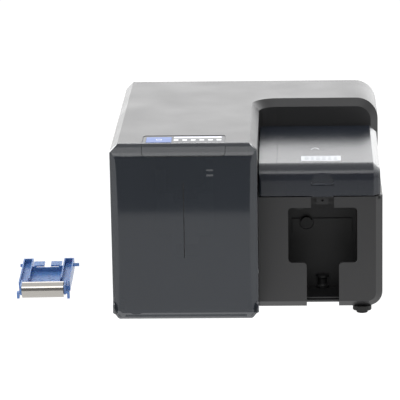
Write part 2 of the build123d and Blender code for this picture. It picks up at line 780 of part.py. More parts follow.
# ---------------------------------------------------------------- card hopper deck
deck_x0 = block_x + seat_gap
deck_x1 = right_x - case_wall - seat_gap
deck_y0 = fascia_y + case_wall + seat_gap
deck_y1 = recess_back_y - seat_gap
hopper = prism_z([(deck_x0, deck_y0), (deck_x1, deck_y0), (deck_x1, deck_y1), (deck_x0, deck_y1)],
                 deck_z - case_wall, deck_z, [0, 0, 0, recess_corner_r])
stack_x0 = card_x0
stack_x1 = card_x1
floor_z = path_z - hopper_floor
pocket = box_at(stack_x0 - hopper_wall, stack_x1 + hopper_wall, stack_y0 - hopper_wall, stack_y1 + hopper_wall,
                floor_z, path_z + stack_height)
pocket_hole = box_at(stack_x0, stack_x1, stack_y0, stack_y1, path_z, far)
look_in = box_at(stack_x0 + hopper_ledge, stack_x1 - hopper_ledge, stack_y0 - hopper_wall - 1, stack_y0 + 1,
                 deck_z, far)
card_gate_slot = box_at(stack_x0 - hopper_wall - 1, stack_x0 + 1, stack_y0, stack_y1, path_z, path_z + gate_height)
hopper = hopper + pocket - pocket_hole - look_in - card_gate_slot
bay_x0 = deck_x0 + bay_margin
bay_x1 = stack_x0 - hopper_wall - bay_margin
hopper = hopper - box_at(bay_x0, bay_x1, deck_y0 + 2, stack_y1 + bay_overhang, deck_z - case_wall - 1, deck_z + 1)
pick_x = stack_x0 + pick_inset
pick_z = path_z + pick_proud - roller_r
pick_y0 = stack_y0 + pick_margin
pick_y1 = stack_y1 - pick_margin
hopper = hopper - box_at(pick_x - roller_r - 1, pick_x + roller_r + 1, pick_y0 - 1, pick_y1 + 1, floor_z - 1, path_z + 1)
hanger = box_at(pick_x - hanger_half, pick_x + hanger_half, pick_y0 - hanger_gap - hanger_width,
                pick_y0 - hanger_gap, pick_z - hanger_half, floor_z + 1)
hanger = hanger - rod_y(-far, far, pick_x, pick_z, roller_shaft_r + running_gap)
hopper = hopper + hanger
for post in posts:
    hopper = hopper + post
catch_y = fascia_y + case_wall + seat_gap
lid_catch = box_at(window_mid - lid_catch_width / 2, window_mid + lid_catch_width / 2, catch_y,
                   stack_y0 - hopper_wall - seat_gap, window_top_z + lid_catch_rise, deck_z - case_wall)
lid_catch = lid_catch - rod_y(catch_y - 1, catch_y + 4, window_mid, lid_catch_hole_z, 1.5)
parts["lid_catch_block"] = lid_catch
parts["hopper_tray"] = hopper

# ---------------------------------------------------------------- output bin
bin_x0 = window_left - bin_side_gap
bin_x1 = window_right + bin_side_gap
bin_y1 = fascia_y + bin_depth
bin_top = floor_z - seat_gap
output_bin = box_at(bin_x0 - bin_wall, bin_x1 + bin_wall, deck_y0, bin_y1 + bin_wall, bin_floor_z - bin_wall, bin_top)
output_bin = output_bin - box_at(bin_x0, bin_x1, deck_y0 - 1, bin_y1, bin_floor_z, bin_top + 1)
output_bin = output_bin - thumb_cut
entry_z = pinion_z - gear_centres + exit_rise
entry = box_at(bin_x0 - bin_wall - 1, bin_x0 + 1, stack_y0 - 1, stack_y1 + 1, entry_z, entry_z + entry_height)
wheel_x = pick_x + wheel_offset
wheel_z = pinion_z - (gear_centres ** 2 - wheel_offset ** 2) ** 0.5
bar = box_at(bin_x0 + bar_margin, bin_x1 - bar_margin, bin_y1 - bar_depth, bin_y1 + 0.1,
             wheel_z - bar_height, wheel_z + bar_rise)
bar = bar - rod_y(bin_y1 - bar_depth - 1, bin_y1 + 1, wheel_x, wheel_z, wheel_notch_r)
output_bin = output_bin + bar
output_bin = output_bin - rod_y(bin_y1 - 1, bin_y1 + bin_wall + 1, wheel_x, wheel_z, roller_shaft_r + running_gap)
output_bin = output_bin - rod_y(bin_y1 - 1, bin_y1 + bin_wall + 1, pick_x, pick_z, roller_shaft_r + running_gap)
scoop = rod_z(bin_floor_z - 0.1, bin_floor_z + scoop_height, window_mid, bin_y1, scoop_r)
scoop = scoop + rod_z(bin_floor_z - 0.1, bin_floor_z + scoop_flange, window_mid, bin_y1, scoop_r + scoop_flange)
scoop = scoop + rod_z(bin_floor_z + scoop_height - scoop_flange, bin_floor_z + scoop_height, window_mid, bin_y1,
                      scoop_r + scoop_flange)
waist = scoop.edges().filter_by(GeomType.CIRCLE).filter_by(lambda e: abs(e.radius - scoop_r) < 0.01)
scoop = fillet(waist, scoop_flange * 0.9) & box_at(-far, far, bin_y1 - bin_depth, bin_y1 + 0.1, 0, far)
output_bin = (output_bin + scoop - entry) & inner_block
parts["output_bin"] = output_bin

# ---------------------------------------------------------------- card transport
def tooth_ring(teeth, x, z, y0, y1, tooth_angle, bore):
    """Spur gear along Y with one tooth centred at the angle given."""
    pitch_r = gear_module * teeth / 2
    pitch = 2 * pi / teeth
    root_r = pitch_r - 1.25 * gear_module
    tip_r = pitch_r + 0.9 * gear_module
    points = []
    for i in range(teeth):
        a = radians(tooth_angle) + i * pitch
        for r, half in ((root_r, -0.32), (tip_r, -0.11), (tip_r, 0.11), (root_r, 0.32)):
            points.append((x + r * cos(a + half * pitch), z + r * sin(a + half * pitch)))
    face = make_face(Polyline(*points, close=True))
    gear = extrude(Plane(origin=(0, y1, 0), x_dir=(1, 0, 0), z_dir=(0, -1, 0)) * face, y1 - y0)
    if bore > 0:
        gear = gear - rod_y(y0 - 1, y1 + 1, x, z, bore)
    return gear


def plate_y(x0, x1, z0, z1, y, thick):
    """Sheet metal plate standing across Y."""
    return box_at(x0, x1, y, y + thick, z0, z1)


frame_y0 = stack_y0 - frame_gap - frame_thick
frame_y1 = stack_y1 + frame_gap
frame_x0 = left_x + frame_inset
frame_x1 = block_x - frame_right_inset
floor_top = base_z + case_wall
frame_z1 = path_z + frame_rise
platen_x0 = block_mid_x - platen_length / 2
platen_x1 = block_mid_x + platen_length / 2
snout_x0 = block_mid_x - snout_width / 2
snout_x1 = block_mid_x + snout_width / 2
feed_z = path_z - roller_r
feed_xs = {"left": platen_x0 - feed_gap - roller_r, "right": platen_x1 + feed_gap + roller_r}
pinch_z = path_z + card_nip + pinch_r
motor_x = block_mid_x
motor_z = feed_z - motor_drop
frame_front = plate_y(frame_x0, frame_x1, floor_top, frame_z1, frame_y0, frame_thick)
frame_rear = plate_y(frame_x0, frame_x1, floor_top, frame_z1, frame_y1, frame_thick)
snout_gate = box_at(snout_x0 - snout_room, snout_x1 + snout_room, -far, far, path_z - 0.5, far)
windows = [box_at(x - 22, x + 22, -far, far, floor_top + 20, motor_z - motor_r - 8)
           for x in (motor_x - 50, motor_x, motor_x + 50)]
frames = {"front": frame_front, "rear": frame_rear}
for side, frame in frames.items():
    frame = frame - snout_gate
    for hole in windows:
        frame = frame - hole
    for x in feed_xs.values():
        frame = frame - rod_y(-far, far, x, feed_z, roller_shaft_r + running_gap)
        frame = frame - rod_y(-far, far, x, pinch_z, pinch_shaft_r + running_gap)
    if side == "rear":
        frame = frame - rod_y(-far, far, motor_x, motor_z, motor_boss_r + seat_gap)
    parts[f"transport_frame_{side}"] = frame
parts["print_platen"] = box_at(platen_x0, platen_x1, frame_y0 + frame_thick + seat_gap, frame_y1 - seat_gap,
                               path_z - platen_thick, path_z)
pulley_y0 = frame_y1 + frame_thick + pulley_gap
pulley_y1 = pulley_y0 + belt_width + 1
for side, x in feed_xs.items():
    tyre = rod_y(stack_y0 + 3, stack_y1 - 3, x, feed_z, roller_r)
    tyre = tyre - rod_y(stack_y0, stack_y1, x, feed_z, roller_shaft_r)
    shaft = rod_y(frame_y0 - 2, pulley_y1 + 1, x, feed_z, roller_shaft_r)
    pulley = rod_y(pulley_y0, pulley_y1, x, feed_z, feed_pulley_r)
    parts[f"feed_roller_{side}"] = tyre
    parts[f"feed_shaft_{side}"] = shaft + pulley
    pinch = rod_y(stack_y0 + 3, stack_y1 - 3, x, pinch_z, pinch_r)
    parts[f"pinch_roller_{side}"] = pinch + rod_y(frame_y0 - 2, frame_y1 + frame_thick + 2, x, pinch_z, pinch_shaft_r)
motor_can = rod_y(frame_y1 - motor_length, frame_y1 - 0.5, motor_x, motor_z, motor_r)
motor_can = motor_can + rod_y(frame_y1 - 1, frame_y1 + frame_thick, motor_x, motor_z, motor_boss_r)
motor_can = motor_can - rod_y(frame_y1 - 12, far, motor_x, motor_z, motor_shaft_r + running_gap)
parts["feed_motor"] = motor_can
motor_pulley = rod_y(pulley_y0, pulley_y1, motor_x, motor_z, motor_pulley_r)
parts["feed_motor_pulley"] = motor_pulley + rod_y(frame_y1 - 10, pulley_y1 + 1, motor_x, motor_z, motor_shaft_r)


def belt_loop(circles, plane, depth):
    """Flat belt round a set of pulleys given as (u, v, radius) in the plane."""
    rings = []
    for clearance in (belt_gap + belt_thick, belt_gap):
        edges = [Pos(u, v) * Edge.make_circle(r + clearance) for u, v, r in circles]
        rings.append(extrude(plane * make_hull(edges), depth))
    return rings[0] - rings[1]


feed_circles = [(x, feed_z, feed_pulley_r) for x in feed_xs.values()] + [(motor_x, motor_z, motor_pulley_r)]
belt_plane = Plane(origin=(0, pulley_y1 - 0.5, 0), x_dir=(1, 0, 0), z_dir=(0, -1, 0))
parts["feed_belt"] = belt_loop(feed_circles, belt_plane, belt_width)

# ---------------------------------------------------------------- pick and output drive
gear_y0 = bin_y1 + bin_wall + gear_set_back
gear_y1 = gear_y0 + gear_width
bracket_y = gear_y1 + 0.8
drive_bracket = plate_y(pick_x - bracket_half, pick_x + bracket_half, wheel_z - bracket_drop,
                        deck_z - case_wall - seat_gap, bracket_y, frame_thick)
for x, z, r in ((pick_x, pick_z, roller_shaft_r), (wheel_x, wheel_z, roller_shaft_r), (pick_x, pinion_z, motor_boss_r)):
    drive_bracket = drive_bracket - rod_y(-far, far, x, z, r + running_gap)
flange = box_at(pick_x - bracket_half, pick_x + bracket_half, bracket_y, bracket_y + 12,
                deck_z - case_wall - seat_gap - frame_thick, deck_z - case_wall - seat_gap)
parts["drive_bracket"] = drive_bracket + flange
pick_shaft = rod_y(pick_y0 - hanger_gap - hanger_width - 1, bracket_y + frame_thick + 1, pick_x, pick_z, roller_shaft_r)
pick_gear = tooth_ring(pick_teeth, pick_x, pick_z, gear_y0, gear_y1, 270, 0)
parts["pick_shaft"] = pick_shaft + pick_gear
parts["pick_roller"] = rod_y(pick_y0, pick_y1, pick_x, pick_z, roller_r) - pick_shaft
pinion_gap_angle = 90
pinion_tooth = pinion_gap_angle + 180 / pinion_teeth
line_angle = degrees(atan2(wheel_z - pinion_z, wheel_x - pick_x))
pinion_shaft = rod_y(gear_y0 - 1, bracket_y + frame_thick + 8, pick_x, pinion_z, motor_shaft_r)
parts["pick_pinion"] = tooth_ring(pinion_teeth, pick_x, pinion_z, gear_y0, gear_y1, pinion_tooth, 0) + pinion_shaft
offset = (pinion_tooth - line_angle) % (360 / pinion_teeth)
wheel_gap_angle = line_angle + 180 - offset * pinion_teeth / wheel_teeth
wheel_tooth = wheel_gap_angle + 180 / wheel_teeth
wheel_shaft = rod_y(bin_y1 - bar_depth - 2, bracket_y + frame_thick + 1, wheel_x, wheel_z, roller_shaft_r)
wheel_gear = tooth_ring(wheel_teeth, wheel_x, wheel_z, gear_y0, gear_y1, wheel_tooth, 0)
parts["output_shaft"] = wheel_shaft + wheel_gear
parts["output_wheel"] = rod_y(bin_y1 - bar_depth - 5, bin_y1 - 0.5, wheel_x, wheel_z, wheel_r) - wheel_shaft
pick_can = rod_y(bracket_y + frame_thick, bracket_y + frame_thick + motor_length, pick_x, pinion_z, pick_motor_r)
pick_can = pick_can + rod_y(bracket_y, bracket_y + frame_thick + 1, pick_x, pinion_z, motor_boss_r)
parts["pick_motor"] = pick_can - rod_y(bracket_y - 1, bracket_y + frame_thick + 9, pick_x, pinion_z, motor_shaft_r + running_gap)

# ---------------------------------------------------------------- print carriage
guide_z = top_z - guide_drop
rod_xs = (block_mid_x - rod_spacing / 2, block_mid_x + rod_spacing / 2)
rear_frame = plate_y(frame_x0, frame_x1, floor_top, guide_z + rod_boss_r, rear_frame_y, frame_thick)
rear_frame = rear_frame - box_at(block_mid_x - 30, block_mid_x + 30, -far, far, floor_top + 30, path_z)
bosses = []
rods = []
for x in rod_xs:
    rods.append(rod_y(bulkhead_y1 + seat_gap, rear_frame_y + frame_thick, x, guide_z, rod_r))
    boss = rod_y(bulkhead_y1 - 0.1, bulkhead_y1 + boss_length, x, guide_z, rod_boss_r)
    bosses.append(boss - rod_y(bulkhead_y1, far, x, guide_z, rod_r + running_gap))
    rear_frame = rear_frame - rod_y(-far, far, x, guide_z, rod_r + running_gap)
parts["rear_frame"] = rear_frame
parts["guide_rods"] = Compound(rods)
for boss in bosses:
    parts["front_bulkhead"] = parts["front_bulkhead"] + boss
carriage_y0 = stack_y0 - carriage_overhang
carriage_y1 = stack_y1 + carriage_overhang
carriage_z0 = frame_z1 + carriage_lift
carriage_z1 = guide_z + rod_boss_r + 4
carriage = box_at(rod_xs[0] - rod_boss_r, rod_xs[1] + rod_boss_r, carriage_y0, carriage_y1,
                  guide_z - rod_boss_r, guide_z + rod_boss_r)
ink_x0 = block_mid_x - ink_width / 2
ink_x1 = block_mid_x + ink_width / 2
tub = box_at(ink_x0 - tub_wall, ink_x1 + tub_wall, carriage_y0, carriage_y1, carriage_z0, carriage_z1)
ink_y0 = carriage_y0 + tub_wall
ink_y1 = carriage_y1 - tub_wall
snout_y = ink_y0 + snout_inset
carriage = carriage + tub - box_at(ink_x0 - ink_gap, ink_x1 + ink_gap, ink_y0 - ink_gap, ink_y1 + ink_gap,
                                   carriage_z0 + tub_wall, far)
carriage = carriage - box_at(snout_x0 - 1, snout_x1 + 1, snout_y - 1, snout_y + snout_depth + 1, 0, far)
for x in rod_xs:
    carriage = carriage - rod_y(-far, far, x, guide_z, rod_r + running_gap)
carriage = carriage - box_at(ink_x0 + 6, ink_x1 - 6, carriage_y0 - 1, ink_y0, carriage_z0 + 12, far)
belt_x = rod_xs[1] + rod_boss_r + belt_reach
belt_z = guide_z - belt_fall
clip = box_at(rod_xs[1] + rod_boss_r - 2, belt_x - seat_gap, carriage_y0 + 20, carriage_y1 - 20, belt_z - 5, guide_z)
carriage = carriage + clip
ink = box_at(ink_x0, ink_x1, ink_y0, ink_y1, carriage_z0 + tub_wall + seat_gap, carriage_z1 + ink_proud)
ink = ink + box_at(snout_x0, snout_x1, snout_y, snout_y + snout_depth,
                   path_z + nozzle_gap, carriage_z0 + tub_wall + 1)
parts["ink_cartridge"] = ink
latch_z = carriage_z0 + latch_rise
latch_y = carriage_y0 - latch_r
latch_x0 = ink_x0 + latch_r
latch_x1 = ink_x1 - latch_r
latch = box_at(latch_x0, latch_x1, latch_y - latch_thick / 2, latch_y + latch_thick / 2, latch_z, latch_z + latch_height)
latch = latch + rod_x(latch_x0, latch_x1, latch_y, latch_z, latch_r - latch_gap - running_gap)
parts["cartridge_latch"] = latch - rod_x(-far, far, latch_y, latch_z, latch_pin_r + running_gap)
for x0, x1 in ((ink_x0 - tub_wall, latch_x0 - seat_gap), (latch_x1 + seat_gap, ink_x1 + tub_wall)):
    latch_ear = box_at(x0, x1, latch_y - latch_r, carriage_y0 + 0.1, latch_z - latch_r, latch_z + latch_r)
    carriage = carriage + latch_ear
parts["carriage"] = carriage - rod_x(-far, far, latch_y, latch_z, latch_pin_r + running_gap)
parts["latch_pin"] = rod_x(ink_x0 - tub_wall, ink_x1 + tub_wall, latch_y, latch_z, latch_pin_r)

# carriage belt, its pulleys and motor
pulley_x = belt_x + carriage_pulley_r + belt_gap + belt_thick
idler_y = bulkhead_y1 + boss_length
drive_y = rear_frame_y - seat_gap - pick_motor_r
belt_z0 = belt_z - belt_width / 2
circles = [(pulley_x, idler_y, carriage_pulley_r), (pulley_x, drive_y, carriage_pulley_r)]
parts["carriage_belt"] = belt_loop(circles, Plane.XY.offset(belt_z0), belt_width)
idler = rod_z(belt_z0 - 0.5, belt_z0 + belt_width + 0.5, pulley_x, idler_y, carriage_pulley_r)
parts["carriage_idler"] = idler - rod_z(0, far, pulley_x, idler_y, 1.5 + running_gap)
idler_bracket = box_at(pulley_x - 6, pulley_x + 6, bulkhead_y1, idler_y + 5, belt_z0 - 4, belt_z0 - 1)
idler_bracket = idler_bracket + rod_z(belt_z0 - 2, belt_z0 + belt_width + 2, pulley_x, idler_y, 1.5)
parts["idler_bracket"] = idler_bracket
carriage_can = rod_z(belt_z0 - 2 - motor_length, belt_z0 - 2, pulley_x, drive_y, pick_motor_r)
parts["carriage_motor"] = carriage_can - rod_z(belt_z0 - 12, belt_z0, pulley_x, drive_y, motor_shaft_r + running_gap)
drive_pulley = rod_z(belt_z0 - 0.5, belt_z0 + belt_width + 0.5, pulley_x, drive_y, carriage_pulley_r)
parts["carriage_pulley"] = drive_pulley + rod_z(belt_z0 - 10, belt_z0 + belt_width + 1, pulley_x, drive_y, motor_shaft_r)

# ---------------------------------------------------------------- nozzle service station
park_y0 = snout_y + carriage_travel
cap_z = path_z + nozzle_gap - seat_gap
tower_x0 = snout_x0 - tower_margin
tower_x1 = snout_x1 + tower_margin
tower_y0 = park_y0 - tower_front
tower_y1 = park_y0 + snout_depth + tower_margin
tower = box_at(tower_x0, tower_x1, tower_y0, tower_y1, floor_top, cap_z - cap_height)
tower = tower - box_at(tower_x0 + tower_wall, tower_x1 - tower_wall, tower_y0 + tower_wall, tower_y1 - tower_wall,
                       floor_top - 1, cap_z - cap_height - tower_wall)
parts["service_tower"] = tower
parts["capping_pad"] = box_at(snout_x0 - cap_margin, snout_x1 + cap_margin, park_y0 - cap_margin,
                              park_y0 + snout_depth + cap_margin, cap_z - cap_height, cap_z)
parts["wiper_blade"] = box_at(snout_x0, snout_x1, park_y0 - wiper_lead, park_y0 - wiper_lead + wiper_thick,
                              cap_z - cap_height, cap_z)

# ---------------------------------------------------------------- electronics
board_x0 = sockets["network_socket"][0] - board_left_margin
board_x1 = sockets["power_socket"][0] + board_right_margin
board_z = rear_z0 + board_rise
board_y1 = case_back_y - case_wall - board_back_gap
board = box_at(board_x0, board_x1, board_y1 - board_depth, board_y1, board_z - board_thick, board_z)
stands = []
for x in (board_x0 + standoff_inset, board_x1 - standoff_inset):
    for y in (board_y1 - standoff_inset, board_y1 - board_depth + standoff_inset):
        stands.append(rod_z(floor_top, board_z - board_thick, x, y, standoff_r))
parts["main_board"] = board
parts["board_standoffs"] = Compound(stands)
for name, (x, z, w, h) in sockets.items():
    body = box_at(x - w / 2 + seat_gap, x + w / 2 - seat_gap, case_back_y - socket_depth,
                  case_back_y - case_wall - seat_gap, board_z, z + h / 2 - seat_gap)
    body = body + box_at(x - w / 2 + seat_gap, x + w / 2 - seat_gap, case_back_y - socket_depth, case_back_y - 1,
                         z - h / 2 + seat_gap, z + h / 2 - seat_gap)
    rim = seat_gap + socket_wall
    body = body - box_at(x - w / 2 + rim, x + w / 2 - rim, case_back_y - socket_depth + 2 * socket_wall, case_back_y,
                         z - h / 2 + rim, z + h / 2 - rim)
    parts[name] = body
screws = []
for x in (rear_x0 + screw_margin, rear_mid_x, rear_x1 - screw_margin):
    for z in (rear_z0 + screw_margin, rear_z1 - screw_margin):
        head = rod_y(case_back_y, case_back_y + screw_head, x, z, screw_r)
        recess = box_at(x - 0.5, x + 0.5, case_back_y + screw_head - 0.8, case_back_y + 5, z - 2, z + 2)
        cross = box_at(x - 2, x + 2, case_back_y + screw_head - 0.8, case_back_y + 5, z - 0.5, z + 0.5)
        screws.append(head - recess - cross)
parts["case_screws"] = Compound(screws)

# ---------------------------------------------------------------- cleaning cassette
def both_sides(shape):
    """Shape and its mirror image about the cassette's middle."""
    return shape + mirror(shape, about=Plane.YZ)


half_roller = cleaning_length / 2
cheek_x0 = half_roller + seat_gap
cheek_x1 = cheek_x0 + cheek_thick
top = carrier_top
low = carrier_top - carrier_height
channel_x0 = carrier_half - channel_width
channel_floor = top - channel_depth
tray_floor = channel_floor - tray_drop
wall_inner_x = channel_x0 + carrier_wall
channel = box_at(channel_x0, carrier_half, carrier_front, carrier_length, low, top)
channel = channel - box_at(wall_inner_x, carrier_half - carrier_wall, carrier_front - 1,
                           carrier_length - carrier_wall, channel_floor, top + 1)
channel = channel - box_at(wall_inner_x, carrier_half - carrier_wall, carrier_front + carrier_wall,
                           carrier_length - carrier_wall, low - 1, channel_floor - carrier_wall)
channel = channel - box_at(channel_x0 - 1, wall_inner_x + 1, carrier_front - 1, carrier_front + channel_step,
                           channel_floor, top + 1)
tab_x0 = channel_x0 - tab_width - tab_gap
tab = box_at(tab_x0, tab_x0 + tab_width, tray_length, tray_length + tab_length, top - tab_gap, top)
carrier = both_sides(channel + tab)
roller_room = cleaning_r + 1
tray = box_at(-channel_x0 - 0.1, channel_x0 + 0.1, roller_room + 1, tray_length + carrier_wall, tray_floor, top)
tray = tray - box_at(-channel_x0, channel_x0, roller_room, tray_length, tray_floor + carrier_wall, top + 1)
lip = prism_y([(-channel_x0 + 3, top + 1), (channel_x0 - 3, top + 1), (channel_x0 - 6, top - 2), (-channel_x0 + 6, top - 2)],
              tray_length - 1, tray_length + carrier_wall + 1)
side_pin_y = carrier_length - side_pin_inset
side_pins = rod_x(-carrier_half - side_pin_left, carrier_half + side_pin_right, side_pin_y, top - side_pin_drop, side_pin_r)
side_pins = side_pins - box_at(-carrier_half + 0.1, carrier_half - 0.1, -far, far, -far, far)
carrier = Pos(carrier_shift, 0, 0) * (carrier + tray - lip + side_pins)
cheek = box_at(cheek_x0, cheek_x1, -journal_r - cheek_thick, carrier_front + 6, -cheek_drop, top)
axis_z = cleaning_r + cassette_clear + half_roller * sin(radians(cassette_lean))
leg = box_at(half_roller + leg_gap, half_roller + leg_gap + leg_thick, -leg_depth / 2, leg_depth / 2, -2 * axis_z, -leg_rise)
leg = leg + box_at(cheek_x0, half_roller + leg_gap + leg_thick, -leg_depth / 2, leg_depth / 2, -cheek_drop, -leg_rise + 1)
carrier = carrier - rod_x(-half_roller - 0.2, half_roller + 0.2, 0, 0, roller_room)
carrier = Rot(cassette_tilt, 0, 0) * (carrier + both_sides(cheek))
prop_y = tray_length * 0.8
prop_z = prop_y * sin(radians(cassette_tilt)) + tray_floor + carrier_wall / 2
prop = box_at(-prop_width / 2, prop_width / 2, prop_y, prop_y + prop_thick, -2 * axis_z, prop_z)
carrier = carrier + both_sides(leg) + prop
carrier = carrier - rod_x(-far, far, 0, 0, journal_r + running_gap)
cassette_x = left_x - cassette_offset
cassette_place = Pos(cassette_x, cassette_y, axis_z) * Rot(0, 0, -cassette_yaw) * Rot(0, -cassette_lean, 0)
under_table = box_at(-2 * far, 2 * far, -2 * far, 2 * far, -far, 0)
parts["cassette_carrier"] = cassette_place * carrier - under_table
roller = rod_x(-half_roller, half_roller, 0, 0, cleaning_r)
roller = roller + rod_x(-cheek_x1, cheek_x1, 0, 0, journal_r)
parts["cleaning_roller"] = cassette_place * roller

# ---------------------------------------------------------------- files
boxes = [shape.bounding_box() for shape in parts.values()]
shift_x = -(min(b.min.X for b in boxes) + max(b.max.X for b in boxes)) / 2
shift_y = -(min(b.min.Y for b in boxes) + max(b.max.Y for b in boxes)) / 2
os.makedirs("parts", exist_ok=True)
for node, shape in parts.items():
    export_step(Pos(shift_x, shift_y, 0) * shape, f"parts/{node}.step")
print("moved to the middle of the base by", round(shift_x, 4), round(shift_y, 4))
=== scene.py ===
from math import cos, radians, sin

import bpy
from mathutils import Matrix, Vector
from mathutils.bvhtree import BVHTree


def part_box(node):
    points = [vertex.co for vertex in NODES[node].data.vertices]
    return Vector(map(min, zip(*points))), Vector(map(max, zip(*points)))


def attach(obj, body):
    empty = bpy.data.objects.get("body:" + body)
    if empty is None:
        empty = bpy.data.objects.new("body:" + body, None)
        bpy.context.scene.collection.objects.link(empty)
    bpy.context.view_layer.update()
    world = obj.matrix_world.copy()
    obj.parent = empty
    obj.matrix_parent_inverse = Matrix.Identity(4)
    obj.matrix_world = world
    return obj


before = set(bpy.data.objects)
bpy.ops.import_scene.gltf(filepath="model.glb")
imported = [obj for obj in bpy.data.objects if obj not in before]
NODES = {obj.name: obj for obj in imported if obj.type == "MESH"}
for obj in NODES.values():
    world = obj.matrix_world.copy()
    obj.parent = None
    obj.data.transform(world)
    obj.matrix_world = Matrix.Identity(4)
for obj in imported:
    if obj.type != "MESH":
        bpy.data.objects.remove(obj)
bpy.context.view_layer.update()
MM = 0.001

# ---------------------------------------------------------------- places
# The printer's own millimetre frame, as its drawing has it: X 0 and Y 0 are the case's middle,
# and Z 0 is the table under the feet.
CASE_LEFT = -178.0
CASE_BACK = 194.5
COVER_RIGHT = 13.6
SEAM_Y = -173.0
FASCIA_Y = -139.0
TOP_Z = 246.0
case_low, case_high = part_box("top_case")
SHIFT_X = case_low[0] / MM - CASE_LEFT
SHIFT_Y = case_high[1] / MM - CASE_BACK


def at(x, y, z):
    """Point of the printer's drawing, in millimetres, as metres in the scene."""
    return Vector(((x + SHIFT_X) * MM, (y + SHIFT_Y) * MM, z * MM))


# ---------------------------------------------------------------- camera
# Fitted to the photograph: focal length in its pixels, place in the printer's millimetres.
FOCAL_PIXELS = 2678.1
FRAME_PIXELS = 400
SENSOR = 36.0
FAR_CLIP = 50.0
CAMERA_PLACE = (67.11, -3549.69, 1074.20)
PITCH = radians(15.0)
YAW = radians(-2.181)
ROLL = radians(-0.998)


def photo_camera():
    """Camera at the photograph's place, turned as the photograph's was."""
    forward = Vector((sin(YAW) * cos(PITCH), cos(YAW) * cos(PITCH), -sin(PITCH)))
    side = Vector((cos(YAW), -sin(YAW), 0.0))
    up = side.cross(forward)
    right = side * cos(ROLL) + up * sin(ROLL)
    top = up * cos(ROLL) - side * sin(ROLL)
    turn = Matrix((right, top, -forward)).transposed().to_4x4()
    data = bpy.data.cameras.new("photo_camera")
    data.sensor_width = SENSOR
    data.lens = FOCAL_PIXELS / FRAME_PIXELS * SENSOR
    data.clip_end = FAR_CLIP
    camera = bpy.data.objects.new("photo_camera", data)
    camera.matrix_world = Matrix.Translation(at(*CAMERA_PLACE)) @ turn
    bpy.context.scene.collection.objects.link(camera)
    bpy.context.scene.camera = camera


photo_camera()
bpy.context.scene.view_settings.view_transform = "Standard"
bpy.context.scene.view_settings.look = "None"


# ---------------------------------------------------------------- node helpers
# Sockets of a Mix node that mixes colours.
MIX_A = 6
MIX_B = 7
MIX_RESULT = 2
# Width of the lines in drawn or turned metal, in millimetres, and how far its sheen wanders.
# Real lines are a few hundredths wide, too fine to show, so they are drawn this coarse.
METAL_LINES = 0.4
METAL_SMOOTHER = 0.06
METAL_ROUGHER = 0.08


def linear(code):
    """sRGB hex colour as the linear one that the shader takes."""
    parts = [int(code[i:i + 2], 16) / 255 for i in (1, 3, 5)]
    light = [c / 12.92 if c <= 0.04045 else ((c + 0.055) / 1.055) ** 2.4 for c in parts]
    return (*light, 1.0)


def add(tree, kind, settings=None, links=None):
    """Adds a node, sets its properties and inputs, and links its inputs."""
    made = tree.nodes.new(kind)
    for key, value in (settings or {}).items():
        if isinstance(key, str) and hasattr(made, key):
            setattr(made, key, value)
        else:
            made.inputs[key].default_value = value
    for key, (source, output) in (links or {}).items():
        tree.links.new(source.outputs[output], made.inputs[key])
    return made


def grain_scale(millimetres):
    """Noise scale whose blobs are this wide."""
    return 1.0 / (millimetres * MM)


def fresh(name):
    """Empty node material and its tree."""
    material = bpy.data.materials.new(name)
    material.use_nodes = True
    material.node_tree.nodes.clear()
    return material, material.node_tree


def moulded(name, colour, shade, roughness, grain=1.0, depth=0.04, blotch=60.0,
            ior=1.5, extra=None, spread=0.06):
    """Moulded part: grain from its tool, a cloudy tone and a sheen that wanders a little.

    grain and depth are the grain's width and height, and blotch the clouds' width, in
    millimetres. Real spark grain is about a tenth of a millimetre wide, too fine to show, so
    it is drawn near one.
    """
    material, tree = fresh(name)
    coords = add(tree, "ShaderNodeTexCoord")
    fine = add(tree, "ShaderNodeTexNoise", {"Scale": grain_scale(grain), "Detail": 3.0},
               {"Vector": (coords, "Object")})
    cloud = add(tree, "ShaderNodeTexNoise", {"Scale": grain_scale(blotch), "Detail": 2.0},
                {"Vector": (coords, "Object")})
    tone = add(tree, "ShaderNodeMix",
               {"data_type": "RGBA", MIX_A: linear(colour), MIX_B: linear(shade)},
               {0: (cloud, "Fac")})
    sheen = add(tree, "ShaderNodeMapRange",
                {"To Min": roughness - spread, "To Max": roughness + spread},
                {"Value": (cloud, "Fac")})
    bump = add(tree, "ShaderNodeBump", {"Strength": 1.0, "Distance": depth * MM},
               {"Height": (fine, "Fac")})
    body = add(tree, "ShaderNodeBsdfPrincipled", dict({"IOR": ior}, **(extra or {})),
               {"Base Color": (tone, MIX_RESULT), "Roughness": (sheen, "Result"),
                "Normal": (bump, "Normal")})
    add(tree, "ShaderNodeOutputMaterial", None, {"Surface": (body, "BSDF")})
    return material


def metal(name, colour, shade, roughness, stretch, depth=0.01):
    """Bare metal with fine drawn or turned lines along one way."""
    material, tree = fresh(name)
    coords = add(tree, "ShaderNodeTexCoord")
    along = add(tree, "ShaderNodeMapping", {"Scale": stretch}, {"Vector": (coords, "Object")})
    drawn = add(tree, "ShaderNodeTexNoise", {"Scale": grain_scale(METAL_LINES), "Detail": 4.0},
                {"Vector": (along, "Vector")})
    tone = add(tree, "ShaderNodeMix",
               {"data_type": "RGBA", MIX_A: linear(colour), MIX_B: linear(shade)},
               {0: (drawn, "Fac")})
    sheen = add(tree, "ShaderNodeMapRange",
                {"To Min": roughness - METAL_SMOOTHER, "To Max": roughness + METAL_ROUGHER},
                {"Value": (drawn, "Fac")})
    bump = add(tree, "ShaderNodeBump", {"Strength": 1.0, "Distance": depth * MM},
               {"Height": (drawn, "Fac")})
    body = add(tree, "ShaderNodeBsdfPrincipled", {"Metallic": 1.0},
               {"Base Color": (tone, MIX_RESULT), "Roughness": (sheen, "Result"),
                "Normal": (bump, "Normal")})
    add(tree, "ShaderNodeOutputMaterial", None, {"Surface": (body, "BSDF")})
    return material


